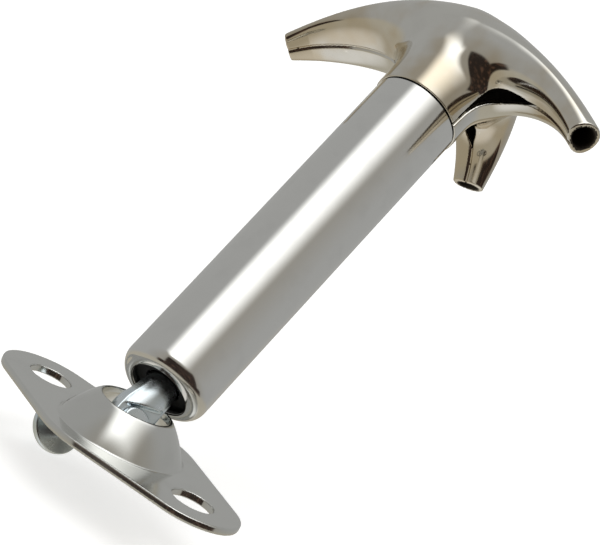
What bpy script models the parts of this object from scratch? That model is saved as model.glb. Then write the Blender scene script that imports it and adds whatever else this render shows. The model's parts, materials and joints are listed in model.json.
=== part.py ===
"""Spring-loaded hook catch on a domed swivel base.

Units are metres. The origin lies on the mounting plane under the centre of the dome, +X runs
along the base plate and +Z points away from the mounting surface. The catch is modelled at rest:
the rod leans on the rim of the dome's opening and the spring is extended.
"""
import math

import bmesh
import bpy
import numpy as np
from mathutils import Matrix, Vector

# Driving dimensions
BARREL_RADIUS = 0.009525                  # outside of a 3/4 inch tube
BARREL_LENGTH = 9.065 * BARREL_RADIUS
BARREL_WALL = 0.001
LIP_RADIUS = 0.653 * BARREL_RADIUS        # opening in the rolled-in lower end
LIP_CORNER = 0.0029
GAP = 0.0003                              # clearance between pieces that touch

PLATE_THICKNESS = 0.0015
PLATE_TOP_ROUNDING = (0.0005, 0.0004)     # inwards and downwards
PLATE_BOTTOM_CHAMFER = 0.0002
PLATE_CENTRE_RADIUS = 1.824 * BARREL_RADIUS
PLATE_END_RADIUS = 1.109 * BARREL_RADIUS
PLATE_END_OFFSET = 2.355 * BARREL_RADIUS
SCREW_HOLE_OFFSET = 2.42 * BARREL_RADIUS
SCREW_HOLE_RADIUS = 0.0044
DOME_BASE_RADIUS = 1.388 * BARREL_RADIUS
DOME_HEIGHT = 0.0071                      # above the plate's top face
DOME_OPENING_RADIUS = 0.00705
DOME_HOLLOW_RADIUS = 0.0125               # at the plate's underside
DOME_CORNER = (0.0100, 0.0052)            # where the flank's end tangents meet, above the top face
HOLLOW_CORNER = (0.0091, 0.0052)          # the same for the hollow's wall, above the underside
HOLLOW_RISE = 0.0070                      # where the hollow's wall meets the opening
DOME_FILLET = (0.0010, 0.0006)            # rounding at the dome's foot, outwards and upwards
DOME_EDGE = 0.0004                        # rounding and chamfers round the dome's opening
CUT_MARGIN = 0.001                        # how far cutting forms pass the plate's faces

ROD_TILT = math.radians(46.25)            # from the plate's normal
ROD_AZIMUTH = math.radians(112.0)         # direction of the lean, from +X
PIN_ROLL = math.radians(136.0)            # turn of the rod and its pin about the rod's axis
HEAD_ROLL = math.radians(-111.6)          # turn of the barrel and its prongs about the rod's axis
EYE_CENTRE = Vector((0.00138, -0.00178, 0.00489))
BARREL_START = 0.01006                    # from the eye's centre to the barrel's lower end

ROD_RADIUS = 0.0035
EYE_RADIUS = 0.0048
EYE_SMALL_RADIUS = 0.0038                 # on the side away from the lean
EYE_HALF_THICKNESS = 0.00175
# Levels above the eye's centre between which the rod narrows, and thickens, to its full round
EYE_SPREAD = (0.002, 0.0095)
EYE_SHOULDER = (0.0042, 0.0062)
PIN_RADIUS = 0.0022
PIN_TAIL_RADIUS = 0.0033
PIN_TAIL_THICKNESS = 0.00115
PIN_LENGTH = 0.0214                       # from the eye's centre to the underside of the head
PIN_HEAD_RADIUS = 0.0055
PIN_HEAD_HEIGHT = 0.0043
PIN_HEAD_EDGE = 0.0006                    # straight edge of the head below its rounding
PIN_TAIL_CHAMFER = 0.0004

WASHER_RADIUS = 0.0072
WASHER_HOLE_RADIUS = ROD_RADIUS + 0.00035
WASHER_SEGMENTS = 32
WASHER_THICKNESS = 0.0012
SPRING_LENGTH = 0.046
SPRING_RADIUS = 0.0061                    # to the middle of the wire
SPRING_WIRE_RADIUS = 0.0009
SPRING_TURNS = 10
SPRING_TURN_POINTS = 14
NUT_ACROSS_FLATS = 0.0111
NUT_BODY_HEIGHT = 0.005
NUT_COLLAR_HEIGHT = 0.0019
NUT_COLLAR_RADIUS = 0.0052
NUT_CHAMFER = (0.93, 0.0005)              # share of the width left at the lower face, and its height
INSERT_RADIUS = 0.0044
ROD_END_ABOVE_NUT = 0.002
ROD_END_SHRINK = 0.88                     # of the chamfered end
ROD_END_CHAMFER = 0.0005

NECK_RADIUS = 1.03 * BARREL_RADIUS
HEAD_WALL = 0.001
HEAD_END_CUT = (0.02, 0.03, 0.03)         # size of the block that opens a prong's tip
HEAD_NECK_CUT = (0.015, 0.006)            # radius and depth of the form that opens the neck
SLEEVE_BELOW_SEAM = 0.007
SLEEVE_ABOVE_SEAM = 0.003
SLEEVE_WALL = 0.001

ROUND_SEGMENTS = 40
MERGE_DISTANCE = 1e-6
HEAD_VOXEL = 0.0024
SEAM_SPAN = (0.36, 0.73, 1.1)             # where a prong's seam is measured, as shares of its length
SEAM_HALF_WIDTHS = (0.2, 0.09, 0.035)     # and its half-width there, in barrel radii
SEAM_DEPTHS = (-0.35, 0.3)                # below and above the underside

# Levels along the rod, measured from the barrel's lower end
LOWER_WASHER_LEVEL = BARREL_WALL + GAP
SPRING_LEVEL = LOWER_WASHER_LEVEL + WASHER_THICKNESS + GAP
UPPER_WASHER_LEVEL = SPRING_LEVEL + SPRING_LENGTH + GAP
NUT_LEVEL = UPPER_WASHER_LEVEL + WASHER_THICKNESS + GAP
INSERT_LEVEL = NUT_LEVEL + NUT_BODY_HEIGHT + GAP
ROD_END_LEVEL = NUT_LEVEL + NUT_BODY_HEIGHT + NUT_COLLAR_HEIGHT + ROD_END_ABOVE_NUT


class Prong:
    """One prong of the head. Its top edge, underside and half-width each run from the hub to the
    tip as a quadratic curve through three heights or widths, in barrel radii."""

    def __init__(self, length, top, underside, half_width, cut_angle):
        self.length = length
        self.top = top
        self.underside = underside
        self.half_width = half_width
        self.cut_angle = cut_angle        # lean of the open end's plane


HANDLE_RIGHT = Prong(3.93, (2.98, 2.56, 1.11), (0.49, 2.05, 0.19), (1.22, 0.80, 0.38), 0.72)
HANDLE_LEFT = Prong(4.12, (2.98, 2.90, 1.04), (0.49, 2.25, 0.75), (1.22, 1.09, 0.35), 0.57)
HOOK = Prong(2.90, (2.84, 3.55, 1.30), (0.29, 2.50, 0.73), (1.18, 0.88, 0.38), 0.95)
HANDLE_CHANGE = 0.6                       # half-width of the band where one arm becomes the other
PRONG_SECTION_POWER = 2.2                 # 2 is an ellipse, more is squarer
PRONG_BLEND = 0.49                        # softness of the valley between prongs, in barrel radii
NECK_BLEND = 0.40
NECK_HEIGHT = 1.14


def clear_scene():
    for item in list(bpy.data.objects):
        bpy.data.objects.remove(item, do_unlink=True)


def make_material(name, colour, roughness, metallic):
    material = bpy.data.materials.new(name)
    material.use_nodes = True
    shader = material.node_tree.nodes["Principled BSDF"]
    shader.inputs["Base Color"].default_value = (*colour, 1.0)
    shader.inputs["Roughness"].default_value = roughness
    shader.inputs["Metallic"].default_value = metallic
    return material


def add_object(name, mesh_data, parent=None, material=None, local=None):
    """Links a bmesh as a named object, placed by its matrix under the parent."""
    mesh = bpy.data.meshes.new(name)
    mesh_data.to_mesh(mesh)
    mesh_data.free()
    if material:
        mesh.materials.append(material)
    mesh.shade_smooth()
    mesh.set_sharp_from_angle(angle=math.radians(35.0))
    item = bpy.data.objects.new(name, mesh)
    bpy.context.scene.collection.objects.link(item)
    item.parent = parent
    item.matrix_local = local or Matrix.Identity(4)
    return item


def add_empty(name, matrix):
    empty = bpy.data.objects.new(name, None)
    bpy.context.scene.collection.objects.link(empty)
    empty.matrix_world = matrix
    return empty


def combine(target, other, operation):
    """Adds an exact Boolean; the other object is a form that isn't itself a piece."""
    other.hide_render = True
    other.display_type = "WIRE"
    modifier = target.modifiers.new(other.name, "BOOLEAN")
    modifier.operation = operation
    modifier.object = other
    modifier.solver = "EXACT"


def lathe(profile, segments=ROUND_SEGMENTS, ring=False):
    """Turns (radius, height) points about Z. A ring's profile closes on itself; any other
    profile starts and ends on the axis."""
    shape = bmesh.new()
    points = [shape.verts.new((radius, 0.0, height)) for radius, height in profile]
    pairs = list(zip(points, points[1:]))
    if ring:
        pairs.append((points[-1], points[0]))
    edges = [shape.edges.new(pair) for pair in pairs]
    bmesh.ops.spin(shape, geom=points + edges, cent=(0, 0, 0), axis=(0, 0, 1),
                   angle=2 * math.pi, steps=segments, use_merge=True)
    bmesh.ops.remove_doubles(shape, verts=shape.verts, dist=MERGE_DISTANCE)
    bmesh.ops.recalc_face_normals(shape, faces=shape.faces)
    return shape


def loft(rings):
    """Skins a stack of equal rings of points and caps both ends."""
    shape = bmesh.new()
    loops = [[shape.verts.new(point) for point in ring] for ring in rings]
    for lower, upper in zip(loops, loops[1:]):
        for i in range(len(lower)):
            j = (i + 1) % len(lower)
            shape.faces.new((lower[i], lower[j], upper[j], upper[i]))
    shape.faces.new(loops[0])
    shape.faces.new(loops[-1])
    bmesh.ops.recalc_face_normals(shape, faces=shape.faces)
    return shape


def arc(centre, radius, start, end, count):
    """Points on an arc, angles in degrees."""
    points = []
    for i in range(count + 1):
        angle = math.radians(start + (end - start) * i / count)
        points.append((centre[0] + radius * math.cos(angle), centre[1] + radius * math.sin(angle)))
    return points


def curve_through(first, control, last, count):
    """Points on a quadratic curve."""
    points = []
    for i in range(count + 1):
        t = i / count
        points.append(tuple(a * (1 - t) ** 2 + 2 * b * t * (1 - t) + c * t * t
                            for a, b, c in zip(first, control, last)))
    return points


def smooth_step(value, low, high):
    t = min(max((value - low) / (high - low), 0.0), 1.0)
    return t * t * (3 - 2 * t)


def washer_profile(hole_radius, radius, thickness):
    return [(hole_radius, 0.0), (radius, 0.0), (radius, thickness), (hole_radius, thickness)]


def plate_outline(inset, height):
    """A round middle and two round ends joined by straight tangents, drawn in by the inset."""
    tangent = math.degrees(math.acos((PLATE_CENTRE_RADIUS - PLATE_END_RADIUS) / PLATE_END_OFFSET))
    end = PLATE_END_RADIUS - inset
    middle = PLATE_CENTRE_RADIUS - inset
    points = arc((PLATE_END_OFFSET, 0), end, -tangent, tangent, 14)
    points += arc((0, 0), middle, tangent, 180 - tangent, 6)
    points += arc((-PLATE_END_OFFSET, 0), end, 180 - tangent, 180 + tangent, 14)
    points += arc((0, 0), middle, 180 + tangent, 360 - tangent, 6)
    return [(x, y, height) for x, y in points]


def build_base_plate(material):
    top = PLATE_THICKNESS
    rim = top + DOME_HEIGHT
    inward, downward = PLATE_TOP_ROUNDING
    plate = add_object("base_plate", loft([
        plate_outline(PLATE_BOTTOM_CHAMFER, 0.0),
        plate_outline(0.0, PLATE_BOTTOM_CHAMFER),
        plate_outline(0.0, top - downward),
        plate_outline(0.3 * inward, top - 0.3 * downward),
        plate_outline(inward, top)]), material=material)

    outward, upward = DOME_FILLET
    flank = curve_through((DOME_OPENING_RADIUS + DOME_EDGE, rim), (DOME_CORNER[0], top + DOME_CORNER[1]),
                          (DOME_BASE_RADIUS, top + upward), 6)
    foot = curve_through(flank[-1], (DOME_BASE_RADIUS + 0.3 * outward, top),
                         (DOME_BASE_RADIUS + outward, top), 3)
    sunk = top - upward
    dome_form = add_object("dome_form", lathe(
        [(0, rim)] + flank + foot[1:] + [(DOME_BASE_RADIUS + outward, sunk), (0, sunk)]))
    combine(plate, dome_form, "UNION")

    inner_wall = curve_through((DOME_HOLLOW_RADIUS, 0), HOLLOW_CORNER, (DOME_OPENING_RADIUS, HOLLOW_RISE), 5)
    hollow_form = add_object("hollow_form", lathe(
        [(0, -CUT_MARGIN), (DOME_HOLLOW_RADIUS, -CUT_MARGIN)] + inner_wall
        + [(DOME_OPENING_RADIUS, rim - DOME_EDGE), (DOME_OPENING_RADIUS + 2 * DOME_EDGE, rim + DOME_EDGE),
           (0, rim + DOME_EDGE)]))
    combine(plate, hollow_form, "DIFFERENCE")

    low, high = -CUT_MARGIN, top + CUT_MARGIN
    hole_profile = [(0, low), (SCREW_HOLE_RADIUS, low), (SCREW_HOLE_RADIUS, high), (0, high)]
    for side, name in ((-1, "screw_hole_left_form"), (1, "screw_hole_right_form")):
        place = Matrix.Translation((side * SCREW_HOLE_OFFSET, 0, 0))
        combine(plate, add_object(name, lathe(hole_profile, 28), local=place), "DIFFERENCE")


def build_pivot_pin(parent, material):
    """A round-head rivet; its head end points along the parent's -Y."""
    tail = -(EYE_HALF_THICKNESS + GAP + PIN_TAIL_THICKNESS)
    tail_face = tail + PIN_TAIL_THICKNESS
    profile = [(0, tail), (PIN_TAIL_RADIUS - PIN_TAIL_CHAMFER, tail),
               (PIN_TAIL_RADIUS, tail + PIN_TAIL_CHAMFER), (PIN_TAIL_RADIUS, tail_face), (PIN_RADIUS, tail_face), (PIN_RADIUS, PIN_LENGTH),
               (PIN_HEAD_RADIUS, PIN_LENGTH)]
    rounding = PIN_HEAD_HEIGHT - PIN_HEAD_EDGE
    for i in range(6):
        angle = math.pi / 2 * i / 5
        profile.append((PIN_HEAD_RADIUS * math.cos(angle),
                        PIN_LENGTH + PIN_HEAD_EDGE + rounding * math.sin(angle)))
    profile[-1] = (0, profile[-1][1])
    add_object("pivot_pin", lathe(profile, 24), parent, material, Matrix.Rotation(math.radians(90), 4, "X"))


def rod_section(level, count=20):
    """The rod's outline at a level above the eye's centre: flat at the eye, round above it."""
    narrowing = smooth_step(level, *EYE_SPREAD)
    thickening = smooth_step(level, *EYE_SHOULDER)
    half_thickness = EYE_HALF_THICKNESS + (ROD_RADIUS - EYE_HALF_THICKNESS) * thickening
    power = 2 / (4 - 2 * thickening)
    ring = []
    for i in range(count):
        cosine, sine = (round(f(2 * math.pi * i / count), 9) for f in (math.cos, math.sin))
        eye_width = EYE_RADIUS if cosine > 0 else EYE_SMALL_RADIUS
        half_width = eye_width + (ROD_RADIUS - eye_width) * narrowing
        if level < 0:
            half_width = math.sqrt(max(EYE_RADIUS ** 2 - level ** 2, 0)) * eye_width / EYE_RADIUS
        ring.append((half_width * math.copysign(abs(cosine) ** power, cosine),
                     half_thickness * math.copysign(abs(sine) ** power, sine), level))
    return ring


def build_pivot_rod(parent, material):
    eye_levels = [-EYE_RADIUS * math.cos(math.radians(angle)) for angle in (15, 30, 45, 60, 75, 90)]
    shoulder_low, shoulder_high = EYE_SHOULDER
    step = (shoulder_high - shoulder_low) / 4
    shoulder_levels = [shoulder_low + step * i for i in range(5)]
    neck_levels = [EYE_SPREAD[0], (EYE_SPREAD[0] + shoulder_low) / 2] + shoulder_levels
    neck_levels += [(shoulder_high + EYE_SPREAD[1]) / 2, EYE_SPREAD[1]]
    rod_top = BARREL_START + ROD_END_LEVEL
    rings = [rod_section(level) for level in eye_levels + neck_levels + [rod_top - ROD_END_CHAMFER]]
    rings.append([(x * ROD_END_SHRINK, y * ROD_END_SHRINK, rod_top) for x, y, _ in rings[-1]])
    rod = add_object("pivot_rod", loft(rings), parent, material)
    bore = PIN_RADIUS + GAP
    reach = EYE_HALF_THICKNESS + CUT_MARGIN
    bore_form = add_object("eye_bore_form", lathe(
        [(0, -reach), (bore, -reach), (bore, reach), (0, reach)], 24), parent,
        local=Matrix.Rotation(math.radians(90), 4, "X"))
    combine(rod, bore_form, "DIFFERENCE")


def build_washer(name, level, parent, material):
    profile = washer_profile(WASHER_HOLE_RADIUS, WASHER_RADIUS, WASHER_THICKNESS)
    ring = lathe(profile, WASHER_SEGMENTS, ring=True)
    add_object(name, ring, parent, material, Matrix.Translation((0, 0, level)))


def build_spring(parent, material):
    """A round-wire compression spring whose first and last turns lie closed."""
    count = SPRING_TURNS * SPRING_TURN_POINTS
    closed_pitch = 2 * SPRING_WIRE_RADIUS + GAP
    travel = SPRING_LENGTH - 2 * SPRING_WIRE_RADIUS
    curve = bpy.data.curves.new("barrel_spring", "CURVE")
    curve.dimensions = "3D"
    curve.bevel_depth = SPRING_WIRE_RADIUS
    curve.bevel_resolution = 1
    curve.use_fill_caps = True
    curve.materials.append(material)
    spline = curve.splines.new("POLY")
    spline.points.add(count)
    open_pitch = (travel - 2 * closed_pitch) / (SPRING_TURNS - 2)
    for i in range(count + 1):
        turn = i / SPRING_TURN_POINTS
        height = min(turn, 1) * closed_pitch
        height += min(max(turn - 1, 0), SPRING_TURNS - 2) * open_pitch
        height += max(turn - SPRING_TURNS + 1, 0) * closed_pitch
        angle = 2 * math.pi * turn
        spline.points[i].co = (SPRING_RADIUS * math.cos(angle), SPRING_RADIUS * math.sin(angle),
                               SPRING_WIRE_RADIUS + height, 1.0)
    spring = bpy.data.objects.new("barrel_spring", curve)
    bpy.context.scene.collection.objects.link(spring)
    spring.parent = parent
    spring.matrix_local = Matrix.Translation((0, 0, SPRING_LEVEL))


def build_stop_nut(parent, nut_material, insert_material):
    """A hexagon nut with a round collar that holds a plastic locking ring."""
    corner = NUT_ACROSS_FLATS / math.sqrt(3)
    top = NUT_BODY_HEIGHT + NUT_COLLAR_HEIGHT
    share, chamfer = NUT_CHAMFER
    rings = []
    for size, height in ((share * corner, 0.0), (corner, chamfer), (corner, NUT_BODY_HEIGHT)):
        rings.append([(size * math.cos(math.radians(60 * i)), size * math.sin(math.radians(60 * i)), height)
                      for i in range(6)])
    nut = add_object("stop_nut", loft(rings), parent, nut_material, Matrix.Translation((0, 0, NUT_LEVEL)))
    sunk = NUT_BODY_HEIGHT - CUT_MARGIN
    collar_form = add_object("nut_collar_form", lathe(
        [(0, sunk), (NUT_COLLAR_RADIUS, sunk), (NUT_COLLAR_RADIUS, top), (0, top)], 28), parent,
        local=Matrix.Translation((0, 0, NUT_LEVEL)))
    combine(nut, collar_form, "UNION")
    bore = ROD_RADIUS + GAP
    seat = INSERT_RADIUS + GAP
    bore_form = add_object("nut_bore_form", lathe(
        [(0, -CUT_MARGIN), (bore, -CUT_MARGIN), (bore, NUT_BODY_HEIGHT), (seat, NUT_BODY_HEIGHT),
         (seat, top + CUT_MARGIN), (0, top + CUT_MARGIN)], 28), parent,
        local=Matrix.Translation((0, 0, NUT_LEVEL)))
    combine(nut, bore_form, "DIFFERENCE")
    height = NUT_COLLAR_HEIGHT - 2 * GAP
    add_object("nut_insert", lathe(washer_profile(bore, INSERT_RADIUS, height), 28, ring=True), parent,
               insert_material, Matrix.Translation((0, 0, INSERT_LEVEL)))


def build_barrel(parent, material):
    inner = BARREL_RADIUS - BARREL_WALL
    corner_centre = (BARREL_RADIUS - LIP_CORNER, LIP_CORNER)
    inner_corner = LIP_CORNER - BARREL_WALL
    profile = [(BARREL_RADIUS, BARREL_LENGTH)]
    profile += arc(corner_centre, LIP_CORNER, 0, -90, 6)
    profile += [(LIP_RADIUS, 0.0), (LIP_RADIUS, BARREL_WALL)]
    profile += arc(corner_centre, inner_corner, -90, 0, 4)
    profile.append((inner, BARREL_LENGTH))
    add_object("barrel", lathe(profile, 48, ring=True), parent, material)


def build_neck_sleeve(parent, material):
    outer = BARREL_RADIUS - BARREL_WALL - GAP
    height = SLEEVE_BELOW_SEAM + SLEEVE_ABOVE_SEAM
    profile = washer_profile(outer - SLEEVE_WALL, outer, height)
    place = Matrix.Translation((0, 0, BARREL_LENGTH - SLEEVE_BELOW_SEAM))
    add_object("neck_sleeve", lathe(profile, 36, ring=True), parent, material, place)


def soft_minimum(a, b, softness):
    mix = np.clip(0.5 + 0.5 * (b - a) / softness, 0.0, 1.0)
    return b * (1 - mix) + a * mix - softness * mix * (1 - mix)


def along_prong(values, t):
    hub, middle, tip = values
    return hub * (1 - t) ** 2 + 2 * middle * t * (1 - t) + tip * t * t


def prong_field(prong, distance, side, height):
    """Roughly the distance to the prong's skin, negative inside, in barrel radii."""
    t = np.clip(distance / prong.length, 0.0, 1.12)
    top = along_prong(prong.top, t)
    underside = along_prong(prong.underside, t)
    half_width = along_prong(prong.half_width, t)
    half_height = np.maximum((top - underside) / 2, 0.2)
    across = np.abs(side / half_width) ** PRONG_SECTION_POWER
    upward = np.abs((height - (top + underside) / 2) / half_height) ** PRONG_SECTION_POWER
    skin = ((across + upward) ** (1 / PRONG_SECTION_POWER) - 1) * np.minimum(half_height, half_width)
    return np.maximum(skin, distance - 1.1 * prong.length)


def head_field(points, wall):
    """The head's outer skin, or the inner one when a wall thickness is given."""
    x, y, z = (points / BARREL_RADIUS).T
    share = np.clip(0.5 + 0.5 * x / HANDLE_CHANGE, 0.0, 1.0)
    share = share * share * (3 - 2 * share)
    handle = prong_field(HANDLE_RIGHT, x, y, z) * share + prong_field(HANDLE_LEFT, -x, y, z) * (1 - share)
    hook = np.maximum(prong_field(HOOK, y, x, z), -0.3 - y)
    radius = np.hypot(x, y)
    neck = np.maximum(radius - NECK_RADIUS / BARREL_RADIUS, np.maximum(-0.35 - z, z - NECK_HEIGHT))
    prongs = soft_minimum(handle, hook, PRONG_BLEND)
    return (soft_minimum(prongs, neck, NECK_BLEND)) * BARREL_RADIUS + wall


def add_copy(target, shape):
    """Copies one bmesh into another and frees it."""
    mesh = bpy.data.meshes.new("copy")
    shape.to_mesh(mesh)
    shape.free()
    target.from_mesh(mesh)
    bpy.data.meshes.remove(mesh)


def rough_prong(prong):
    """A simple tapering limb along +X that holds the prong's volume."""
    rings = []
    for i in range(9):
        t = 1.08 * i / 8
        top = along_prong(prong.top, t)
        underside = along_prong(prong.underside, t)
        width = along_prong(prong.half_width, t)
        half_height = max((top - underside) / 2, 0.2)
        ring = []
        for k in range(12):
            angle = math.radians(30 * k)
            ring.append(BARREL_RADIUS * Vector((t * prong.length, width * math.cos(angle),
                                                (top + underside) / 2 + half_height * math.sin(angle))))
        rings.append(ring)
    return loft(rings)


def head_skin(wall):
    """A closed mesh on the head's skin: rough stand-ins are remeshed, then drawn on to the skin."""
    rough = bmesh.new()
    for prong, heading in ((HANDLE_RIGHT, 0), (HANDLE_LEFT, 180), (HOOK, 90)):
        limb = rough_prong(prong)
        limb.transform(Matrix.Rotation(math.radians(heading), 4, "Z"))
        add_copy(rough, limb)
    low, high = -0.3 * BARREL_RADIUS, BARREL_RADIUS
    add_copy(rough, lathe([(0, low), (NECK_RADIUS, low), (NECK_RADIUS, high), (0, high)], 24))

    holder = add_object("head_rough", rough)
    remesh = holder.modifiers.new("Remesh", "REMESH")
    remesh.mode = "VOXEL"
    remesh.voxel_size = HEAD_VOXEL
    graph = bpy.context.evaluated_depsgraph_get()
    skin = bmesh.new()
    skin.from_mesh(holder.evaluated_get(graph).to_mesh())
    holder.evaluated_get(graph).to_mesh_clear()
    bpy.data.objects.remove(holder, do_unlink=True)

    for _ in range(6):
        bmesh.ops.smooth_vert(skin, verts=skin.verts, factor=0.5, use_axis_x=True, use_axis_y=True,
                              use_axis_z=True)
        draw_on_to_skin(skin, wall)
    draw_on_to_skin(skin, wall)
    bmesh.ops.triangulate(skin, faces=skin.faces)
    return skin


def draw_on_to_skin(skin, wall):
    """Moves each vertex along the field's slope until the field is zero there."""
    points = np.array([vertex.co[:] for vertex in skin.verts])
    step = 1e-6
    for _ in range(4):
        value = head_field(points, wall)
        slope = np.stack([(head_field(points + step * axis, wall) - head_field(points - step * axis, wall))
                          / (2 * step) for axis in np.eye(3)], axis=1)
        size = np.maximum((slope ** 2).sum(axis=1), 0.05)
        move = slope * (value / size)[:, None]
        length = np.linalg.norm(move, axis=1, keepdims=True)
        points -= move * np.minimum(1.0, 0.001 / np.maximum(length, 1e-9))
    for vertex, point in zip(skin.verts, points):
        vertex.co = point


def box_mesh(size, centre, matrix):
    shape = bmesh.new()
    place = matrix @ Matrix.Translation(centre) @ Matrix.Diagonal((*size, 1.0))
    bmesh.ops.create_cube(shape, size=1.0, matrix=place)
    return shape


def seam_form(prong, heading):
    """A wedge that opens the prong's underside along its middle."""
    rings = []
    for t, width in zip(SEAM_SPAN, SEAM_HALF_WIDTHS):
        low, high = (along_prong(prong.underside, t) + depth for depth in SEAM_DEPTHS)
        reach = t * prong.length
        rings.append([(reach, -width, low), (reach, width, low), (reach, width, high), (reach, -width, high)])
    shape = loft(rings)
    shape.transform(Matrix.Rotation(math.radians(heading), 4, "Z") @ Matrix.Scale(BARREL_RADIUS, 4))
    return shape


def build_hook_head(parent, material):
    seam = Matrix.Translation((0, 0, BARREL_LENGTH + GAP))
    head = add_object("hook_head", head_skin(0.0), parent, material, seam)
    inside = add_object("head_inside_form", head_skin(HEAD_WALL), parent, local=seam)
    combine(head, inside, "DIFFERENCE")
    radius, depth = HEAD_NECK_CUT
    neck_cut = add_object("neck_cut_form", lathe([(0, -depth), (radius, -depth), (radius, 0), (0, 0)], 32),
                          parent, local=seam)
    combine(head, neck_cut, "DIFFERENCE")
    ends = (("left", HANDLE_LEFT, 180), ("right", HANDLE_RIGHT, 0), ("hook", HOOK, 90))
    for name, prong, heading in ends:
        reach = prong.length * BARREL_RADIUS
        tip_height = (prong.top[2] + prong.underside[2]) / 2 * BARREL_RADIUS
        lean = Matrix.Translation((reach, 0, tip_height)) @ Matrix.Rotation(prong.cut_angle, 4, "Y")
        turn = Matrix.Rotation(math.radians(heading), 4, "Z") @ lean
        cutter = box_mesh(HEAD_END_CUT, (HEAD_END_CUT[0] / 2, 0, 0), turn)
        combine(head, add_object(f"{name}_end_form", cutter, parent, local=seam), "DIFFERENCE")
        slot = add_object(f"{name}_seam_form", seam_form(prong, heading), parent, local=seam)
        combine(head, slot, "DIFFERENCE")


def main():
    clear_scene()
    chrome = make_material("chrome", (0.80, 0.79, 0.77), 0.08, 1.0)
    zinc = make_material("zinc", (0.62, 0.66, 0.70), 0.3, 1.0)
    spring_steel = make_material("spring_steel", (0.45, 0.45, 0.46), 0.35, 1.0)
    nylon = make_material("nylon", (0.85, 0.85, 0.82), 0.5, 0.0)

    lean = Matrix.Rotation(ROD_AZIMUTH, 4, "Z") @ Matrix.Rotation(ROD_TILT, 4, "Y")
    rod_direction = lean.to_3x3() @ Vector((0, 0, 1))
    eye = Matrix.Translation(EYE_CENTRE) @ lean @ Matrix.Rotation(PIN_ROLL, 4, "Z")
    start = Matrix.Translation(EYE_CENTRE + BARREL_START * rod_direction)
    rod_joint = add_empty("rod_joint", eye)
    rod_axis = add_empty("rod_axis", start @ lean @ Matrix.Rotation(PIN_ROLL, 4, "Z"))
    barrel_axis = add_empty("barrel_axis", start @ lean @ Matrix.Rotation(HEAD_ROLL, 4, "Z"))

    build_base_plate(chrome)
    build_pivot_pin(rod_joint, zinc)
    build_pivot_rod(rod_joint, zinc)
    build_washer("lower_spring_washer", LOWER_WASHER_LEVEL, rod_axis, zinc)
    build_spring(rod_axis, spring_steel)
    build_washer("upper_spring_washer", UPPER_WASHER_LEVEL, rod_axis, zinc)
    build_stop_nut(rod_axis, zinc, nylon)
    build_barrel(barrel_axis, chrome)
    build_neck_sleeve(barrel_axis, zinc)
    build_hook_head(barrel_axis, chrome)


main()
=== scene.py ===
"""Looks for the spring-loaded hook catch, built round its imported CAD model.

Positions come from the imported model's joints. Sizes are in metres and repeat the CAD model's own,
apart from what was brought nearer to the photo here: the flank of the dome, the rod's shoulder, the
seams of the head and the cut of the hook. The dome's opening is 0.15 mm wider, so that the rod's skin
clears it at the end of its swing.
"""

import json
import math

import bmesh
import bpy
import numpy as np
from mathutils import Matrix, Vector


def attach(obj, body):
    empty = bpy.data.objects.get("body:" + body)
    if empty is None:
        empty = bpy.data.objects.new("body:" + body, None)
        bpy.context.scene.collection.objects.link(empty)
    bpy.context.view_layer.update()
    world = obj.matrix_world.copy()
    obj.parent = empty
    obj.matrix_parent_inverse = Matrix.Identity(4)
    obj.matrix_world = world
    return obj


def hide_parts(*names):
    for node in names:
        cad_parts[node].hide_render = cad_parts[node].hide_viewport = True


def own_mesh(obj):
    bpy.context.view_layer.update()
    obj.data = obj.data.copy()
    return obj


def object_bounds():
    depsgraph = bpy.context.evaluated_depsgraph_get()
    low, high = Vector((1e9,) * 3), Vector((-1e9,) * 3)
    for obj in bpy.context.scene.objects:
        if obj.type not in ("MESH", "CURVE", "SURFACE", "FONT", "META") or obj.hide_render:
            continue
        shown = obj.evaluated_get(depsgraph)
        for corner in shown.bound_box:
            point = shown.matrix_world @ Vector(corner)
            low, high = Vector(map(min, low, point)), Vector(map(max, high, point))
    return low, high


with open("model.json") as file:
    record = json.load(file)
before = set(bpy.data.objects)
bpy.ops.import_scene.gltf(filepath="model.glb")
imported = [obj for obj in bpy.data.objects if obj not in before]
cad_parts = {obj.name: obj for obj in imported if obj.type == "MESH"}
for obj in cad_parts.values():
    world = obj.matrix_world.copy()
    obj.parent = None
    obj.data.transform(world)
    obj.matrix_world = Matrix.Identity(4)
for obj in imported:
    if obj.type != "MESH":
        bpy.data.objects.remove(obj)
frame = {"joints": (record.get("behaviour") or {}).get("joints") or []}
cad_box = [list(corner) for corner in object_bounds()]

MM = 0.001
MICRON = 0.001 * MM
GAP = 0.3 * MM
BARREL_RADIUS = 9.525 * MM
BARREL_LENGTH = 9.065 * BARREL_RADIUS
BARREL_WALL = 1.0 * MM
PIN_ROLL = math.radians(136.0)
HEAD_ROLL = math.radians(-111.6)


def joint(name):
    return next(entry for entry in frame["joints"] if entry["name"] == name)


ROD_DIRECTION = Vector(joint("barrel_pull")["axis"]).normalized()
EYE_CENTRE = Vector(joint("rod_swing")["pos_m"])
BARREL_START = Vector(joint("barrel_turn")["pos_m"])
LEAN = (Matrix.Rotation(math.atan2(ROD_DIRECTION.y, ROD_DIRECTION.x), 4, "Z")
        @ Matrix.Rotation(math.acos(ROD_DIRECTION.z), 4, "Y"))
EYE_PLACE = Matrix.Translation(EYE_CENTRE) @ LEAN @ Matrix.Rotation(PIN_ROLL, 4, "Z")
ROD_PLACE = Matrix.Translation(BARREL_START) @ LEAN @ Matrix.Rotation(PIN_ROLL, 4, "Z")
BARREL_PLACE = Matrix.Translation(BARREL_START) @ LEAN @ Matrix.Rotation(HEAD_ROLL, 4, "Z")
SEAM_PLACE = BARREL_PLACE @ Matrix.Translation((0, 0, BARREL_LENGTH + GAP))
BARREL_RISE = (BARREL_START - EYE_CENTRE).length      # from the eye's centre to the barrel's lower end


# ---------------------------------------------------------------- camera

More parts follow.
